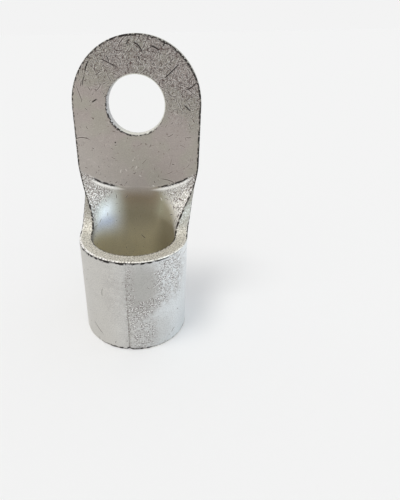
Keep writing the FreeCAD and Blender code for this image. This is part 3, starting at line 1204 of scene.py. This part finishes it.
class CutFinish(Finish):
    """Tin plate on the sheared edges: warm, streaked and grained, greyer in the hole, dark at corners, with
    painted light and shade.
    """

    def __init__(self):
        super().__init__("sheared_edge")
        self.streaks = self.noise(self.vector("MULTIPLY", self.place, (4.0, 0.8, 1.0)), 1.0, 3.0)
        off_hole = self.joined(self.across, self.less(self.up, HOLE_HEIGHT))
        self.punched = self.ramp(self.vector("LENGTH", off_hole, output="Value"), *HOLE_WALL_REACH)

    def plain_tone(self):
        """Streaked tin with a burnished band at the back, painted near white as its highlight and strongest
        on the left, painted shade above the rim, and greyer in the hole with painted shade on its left wall.
        """
        _run, depth, _z = self.parts(self.place)
        tone = self.blend(self.ramp(self.streaks, 0.3, 0.7), DARK_STREAK, PALE_STREAK)
        # The burnished band, painted near white as its highlight
        burnished = self.thinned(self.ramp(depth, *BURNISHED_DEPTH), 0.4, 1.0)
        strength = self.spread(self.ramp(self.across, *BURNISH_CHANGE), 0.95, 0.3)
        tone = self.painted(tone, burnished, strength, BURNISHED_HIGHLIGHT)
        # Painted shade: cut faces darker above the rim
        tone = self.scaled(tone, self.spread(self.ramp(self.up, *SHADE_ABOVE_RIM), 1.0, 0.61))
        # Painted shade: the hole's wall darker on the left
        wall = self.change(self.across, HOLE_WALL_CHANGE, SHADED_LEFT_HOLE_WALL, HOLE_WALL)
        return self.painted(tone, self.punched, 0.85, wall)

    def grained(self, tone):
        """A tone with dark and bright grain, fainter in the hole."""
        rough = self.spread(self.punched, 1.0, 0.25)
        grain = self.noise(self.place, 3.2, 1.0)
        dark = self.product(self.ramp(grain, 0.56, 0.64), 0.8)
        bright = self.product(self.ramp(grain, 0.42, 0.34), 0.45)
        tone = self.painted(tone, dark, rough, DARK_GRAIN)
        return self.painted(tone, bright, rough, BRIGHT_GRAIN)

    def darkened(self, tone):
        """A tone with painted shade at the sharp corners and under the rim's burr."""
        corner = self.thinned(self.mask("edge"), 0.3, 0.9)
        groove = self.math("POWER", self.mask("groove"), 2.0)
        # Painted shade at the sharp corners and under the rim's burr
        return self.painted(tone, self.ramp(self.strongest(corner, groove), 0.1, 0.65), 0.97, SHADE_AND_SCRATCH_DARK)

    def build(self):
        """Joins everything to the shader and gives the material."""
        self.shader["Metallic"].default_value = 0.8
        self.shader["Roughness"].default_value = 0.55
        self.link(self.darkened(self.grained(self.plain_tone())), self.shader["Base Color"])
        self.link(self.bumps(self.streaks), self.shader["Normal"])
        return self.material


# The floor is lit paint with some glow, which together read as the tone that the world shows behind it
GROUND_TONE = 0.896
GROUND_GLOW = 0.1
GROUND_PAINT = 0.806
FLOOR_SIZE = 6

# The light that the world gives to matte things
WORLD_LEVEL = 0.68
WORLD_LIGHT = rgb(0.99, 1.0, 1.015)

BLACK = rgb(0, 0, 0)
WHITE = rgb(1.0, 1.0, 1.0)


def grey(level):
    """Neutral colour of a level."""
    return rgb(level, level, level)


def seen_directly(wiring):
    """1 for rays from the camera, also by way of mirrors and glass, 0 for the light that matte things get.

    Light that reaches a matte thing by way of a mirror counts as its light too.
    """
    rays = wiring.node("ShaderNodeLightPath", {}, "Is Camera Ray").node.outputs
    seen = wiring.strongest(rays["Is Camera Ray"], rays["Is Glossy Ray"], rays["Is Transmission Ray"])
    return wiring.product(seen, wiring.math("LESS_THAN", rays["Diffuse Depth"], 0.5))


def add_floor():
    """Pale matte floor, wide enough to reach the skyline."""
    bpy.ops.mesh.primitive_plane_add(size=FLOOR_SIZE)
    floor = bpy.context.object
    floor.name = "floor"
    material = bpy.data.materials.new("pale_floor")
    material.use_nodes = True
    wiring = Wiring(material.node_tree)
    shader = material.node_tree.nodes["Principled BSDF"].inputs
    shader["Base Color"].default_value = grey(GROUND_PAINT)
    shader["Roughness"].default_value = 1.0
    shader["Specular IOR Level"].default_value = 0.0
    shader["Emission Strength"].default_value = 1.0
    wiring.link(wiring.blend(seen_directly(wiring), BLACK, grey(GROUND_GLOW)), shader["Emission Color"])
    floor.data.materials.append(material)


def add_world():
    """Even studio light; the camera and reflections see the same tone behind the floor as on it."""
    world = bpy.data.worlds.new("studio")
    world.use_nodes = True
    wiring = Wiring(world.node_tree)
    seen = seen_directly(wiring)
    background = world.node_tree.nodes["Background"].inputs
    wiring.link(wiring.spread(seen, WORLD_LEVEL, GROUND_TONE), background["Strength"])
    wiring.link(wiring.blend(seen, WORLD_LIGHT, WHITE), background["Color"])
    bpy.context.scene.world = world


def add_sun(name, azimuth, elevation, width, strength, colour, on_floor=False):
    """Soft sun: azimuth from +X to +Y, elevation and width in degrees, and if matte things get its light."""
    lamp = bpy.data.lights.new(name, "SUN")
    lamp.energy = strength
    lamp.angle = math.radians(width)
    lamp.color = colour
    turn, rise = math.radians(azimuth), math.radians(elevation)
    towards = Vector((math.cos(rise) * math.cos(turn), math.cos(rise) * math.sin(turn), math.sin(rise)))
    holder = bpy.data.objects.new(name, lamp)
    holder.visible_diffuse = on_floor
    holder.rotation_euler = towards.to_track_quat("Z", "Y").to_euler()
    bpy.context.collection.objects.link(holder)


# Camera: its place, its turns in radians, and its focal length, picture and optical axis in pixels
CAMERA_PLACE = (12.84 * MM, -80.13 * MM, 67.28 * MM)
CAMERA_YAW = 0.1172
CAMERA_PITCH = 0.4992
CAMERA_ROLL = 0.0197
FOCAL_PIXELS = 395.0
IMAGE_SIZE = (400, 500)
AXIS_PIXEL = (148.1, 237.3)
SENSOR = 36.0


def camera_turn():
    """The camera's axes as a matrix, from its yaw to the left, its pitch down and its roll."""
    ahead = Vector((-math.sin(CAMERA_YAW) * math.cos(CAMERA_PITCH),
                    math.cos(CAMERA_YAW) * math.cos(CAMERA_PITCH), -math.sin(CAMERA_PITCH)))
    level = Vector((math.cos(CAMERA_YAW), math.sin(CAMERA_YAW), 0))
    down = ahead.cross(level)
    right = math.cos(CAMERA_ROLL) * level + math.sin(CAMERA_ROLL) * down
    up = math.sin(CAMERA_ROLL) * level - math.cos(CAMERA_ROLL) * down
    return Matrix((right, up, -ahead)).transposed().to_4x4()


def add_camera():
    """Camera at the photograph's place, with its optical axis off the middle as the cropping left it."""
    data = bpy.data.cameras.new("photo_camera")
    data.sensor_width = SENSOR
    data.lens = SENSOR * FOCAL_PIXELS / IMAGE_SIZE[1]
    data.shift_x = (IMAGE_SIZE[0] / 2 - AXIS_PIXEL[0]) / IMAGE_SIZE[1]
    data.shift_y = (AXIS_PIXEL[1] - IMAGE_SIZE[1] / 2) / IMAGE_SIZE[1]
    data.clip_start = MM
    camera = bpy.data.objects.new("photo_camera", data)
    camera.matrix_world = Matrix.Translation(CAMERA_PLACE) @ camera_turn()
    bpy.context.collection.objects.link(camera)
    bpy.context.scene.camera = camera


add_camera()
lug = build_lug()
lug.data.materials.append(RolledFinish().build())
lug.data.materials.append(CutFinish().build())
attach(lug, "root")
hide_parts("cable_lug")

add_floor()
add_world()
add_sun("key", azimuth=214, elevation=70, width=22, strength=1.08, colour=(1.0, 0.985, 0.95), on_floor=True)
add_sun("cool_side", azimuth=-12, elevation=30, width=60, strength=1.5, colour=(0.72, 0.88, 1.0))
bpy.context.scene.view_settings.view_transform = "Standard"
